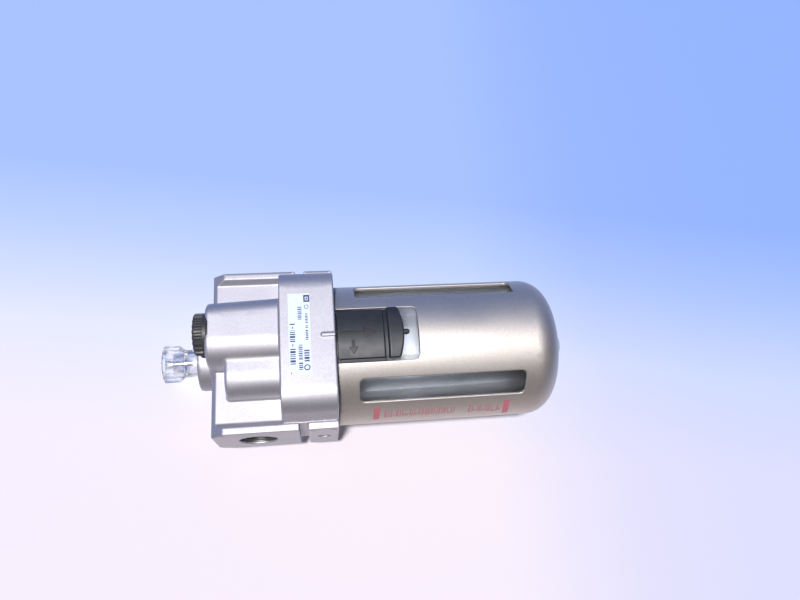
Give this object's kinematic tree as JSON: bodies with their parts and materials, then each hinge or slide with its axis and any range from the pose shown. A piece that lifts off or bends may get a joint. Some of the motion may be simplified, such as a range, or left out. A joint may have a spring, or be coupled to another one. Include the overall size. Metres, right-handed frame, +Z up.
{
  "type": "compressed air lubricator",
  "caption": "Compressed air line lubricator with a die-cast ported body, clear drip sight dome, oil fill plug, and a bayonet oil bowl in a metal guard with a sliding lock button.",
  "frame": {"origin": "centre of the inlet port's mouth, in the plane of the inlet face", "axes": "+X along the air flow from the inlet port to the outlet port, +Z up with the bowl hanging down, -Y the front with the lock button and label"},
  "size_m": [0.07, 0.064, 0.1766],
  "materials": {
    "cast_body": "satin silver paint on die-cast aluminium",
    "guard_metal": "satin champagne-grey metallic paint",
    "clear_plastic": "clear polycarbonate",
    "black_plastic": "black moulded plastic",
    "pale_plastic": "natural moulded plastic",
    "seal_rubber": "black nitrile rubber",
    "steel": "bright zinc or stainless steel",
    "sintered_bronze": "porous sintered bronze",
    "label_film": "pale blue printed film"
  },
  "bodies": {
    "housing": {"body": "cast_body", "sight_dome": "clear_plastic", "dome_seal": "seal_rubber", "drip_nozzle": "pale_plastic", "damper_retainer": "pale_plastic", "retainer_seal": "seal_rubber", "riser_seal": "seal_rubber", "retainer_screws": "steel", "damper_pin": "steel", "bowl_check_cap": "pale_plastic", "oil_tube": "pale_plastic", "oil_strainer": "sintered_bronze", "rating_label": "label_film"},
    "knob": {"feed_knob": "clear_plastic"},
    "needle": {"feed_needle": "steel"},
    "plug_seat": {"fill_plug_seal": "seal_rubber"},
    "plug": {"fill_plug": "black_plastic"},
    "flap": {"damper": "seal_rubber"},
    "oil_ball": {"oil_check_ball": "steel"},
    "air_ball": {"bowl_check_ball": "steel"},
    "bowl_ring": {"bowl_seal": "seal_rubber"},
    "bowl_unit": {"bowl": "clear_plastic", "bowl_guard": "guard_metal"},
    "button": {"lock_button": "black_plastic", "lock_spring": "steel"}
  },
  "joints": [
    {"name": "feed_turn", "type": "hinge", "parent": "housing", "child": "knob", "pos_m": [0.035, 0, 0.037], "axis": [0, 0, 1], "range_deg": [0, 720]},
    {"name": "needle_lift", "type": "slide", "parent": "housing", "child": "needle", "axis": [0, 0, 1], "range_m": [0, 0.001]},
    {"name": "plug_lift", "type": "slide", "parent": "housing", "child": "plug_seat", "axis": [0, 0, 1], "range_m": [0, 0.0075]},
    {"name": "plug_turn", "type": "hinge", "parent": "plug_seat", "child": "plug", "pos_m": [0.0407, -0.0214, 0.02], "axis": [0, 0, 1], "range_deg": [0, 1800]},
    {"name": "damper_swing", "type": "hinge", "parent": "housing", "child": "flap", "pos_m": [0.037, 0, 0.0052], "axis": [0, -1, 0], "range_deg": [0, 60], "stiffness_Nm_per_rad": 0.002},
    {"name": "oil_check", "type": "slide", "parent": "housing", "child": "oil_ball", "axis": [0, 0, 1], "range_m": [0, 0.002]},
    {"name": "air_check", "type": "slide", "parent": "housing", "child": "air_ball", "axis": [0, 0, 1], "range_m": [0, 0.001]},
    {"name": "bowl_drop", "type": "slide", "parent": "housing", "child": "bowl_ring", "axis": [0, 0, -1], "range_m": [0, 0.112]},
    {"name": "bowl_twist", "type": "hinge", "parent": "bowl_ring", "child": "bowl_unit", "pos_m": [0.035, 0, -0.023], "axis": [0, 0, -1], "range_deg": [0, 45]},
    {"name": "button_slide", "type": "slide", "parent": "bowl_unit", "child": "button", "axis": [0, 0, -1], "range_m": [0, 0.003], "stiffness_N_per_m": 400, "springref_m": -0.002, "deforming": ["lock_spring"]}
  ],
  "couplings": [
    {"joint": "needle_lift", "follows": "feed_turn", "m_per_rad": 0.0000795},
    {"joint": "plug_lift", "follows": "plug_turn", "m_per_rad": 0.000238}
  ]
}
